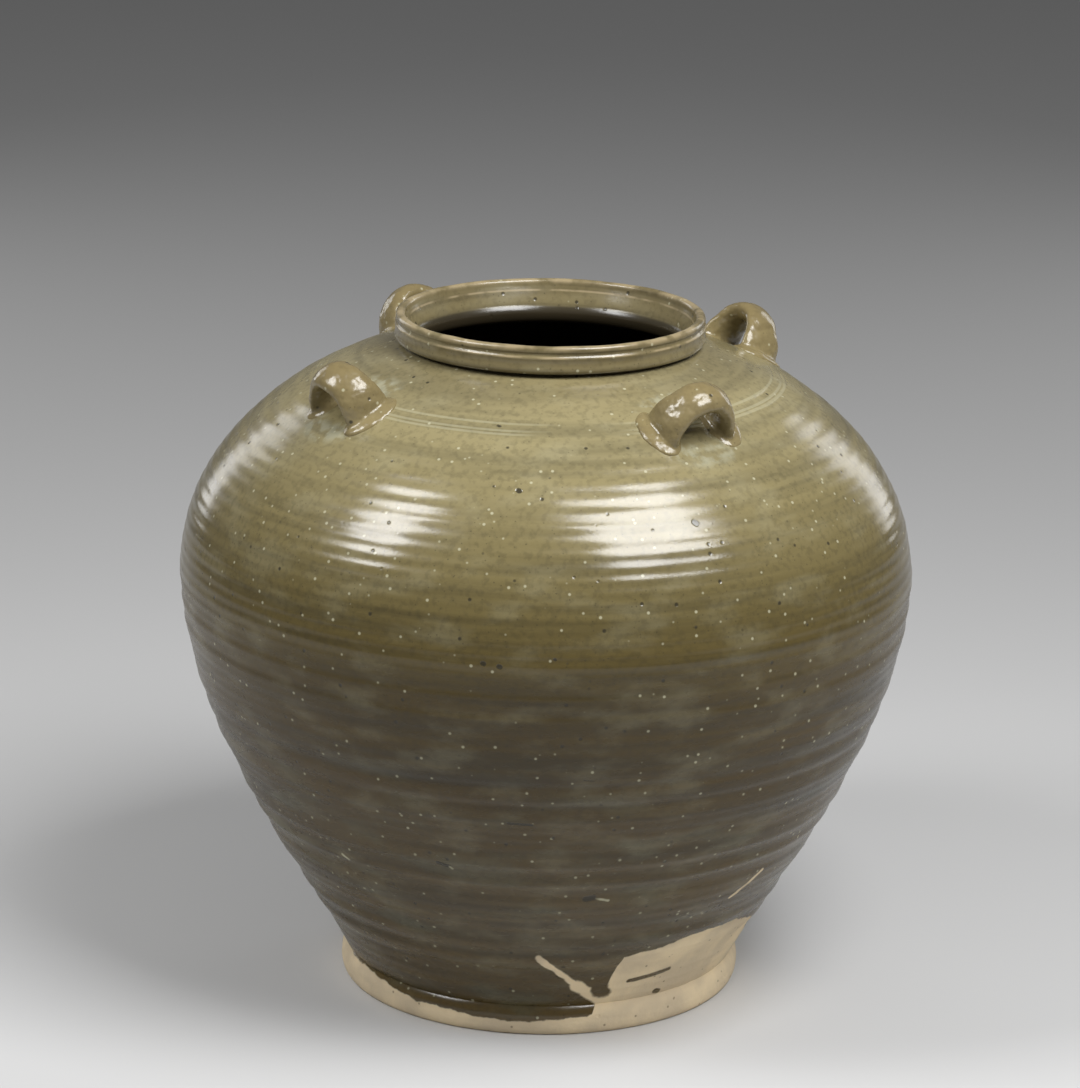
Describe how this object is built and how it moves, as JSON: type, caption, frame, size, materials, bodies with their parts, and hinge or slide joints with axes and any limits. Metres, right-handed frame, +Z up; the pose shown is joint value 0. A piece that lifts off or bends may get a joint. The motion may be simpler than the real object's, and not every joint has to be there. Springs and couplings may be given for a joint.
{
  "type": "storage jar",
  "caption": "Glazed stoneware storage jar: swelling body on a narrow flared foot, low collar with a rolled lip, and arched loop lugs on the shoulder.",
  "frame": {"origin": "centre of the foot, on the surface that the jar stands on", "axes": "+Z up along the axis of turning; -Y towards the lug that the picture shows at front right"},
  "size_m": [0.3524, 0.3524, 0.33],
  "materials": {
    "bare_clay": "unglazed, matt",
    "glaze_lower": "dark olive glaze, glossy",
    "glaze_upper": "olive glaze, glossy",
    "glaze_rim": "olive glaze, glossy, thin and beige on the crest",
    "glaze_lug": "yellow-brown glaze, glossy"
  },
  "bodies": {
    "root": {"base_slab": "bare_clay", "lower_wall": "glaze_lower", "upper_wall": "glaze_upper", "mouth_rim": "glaze_rim", "lug_front": "glaze_lug", "lug_right": "glaze_lug", "lug_back": "glaze_lug", "lug_left": "glaze_lug"}
  },
  "joints": []
}
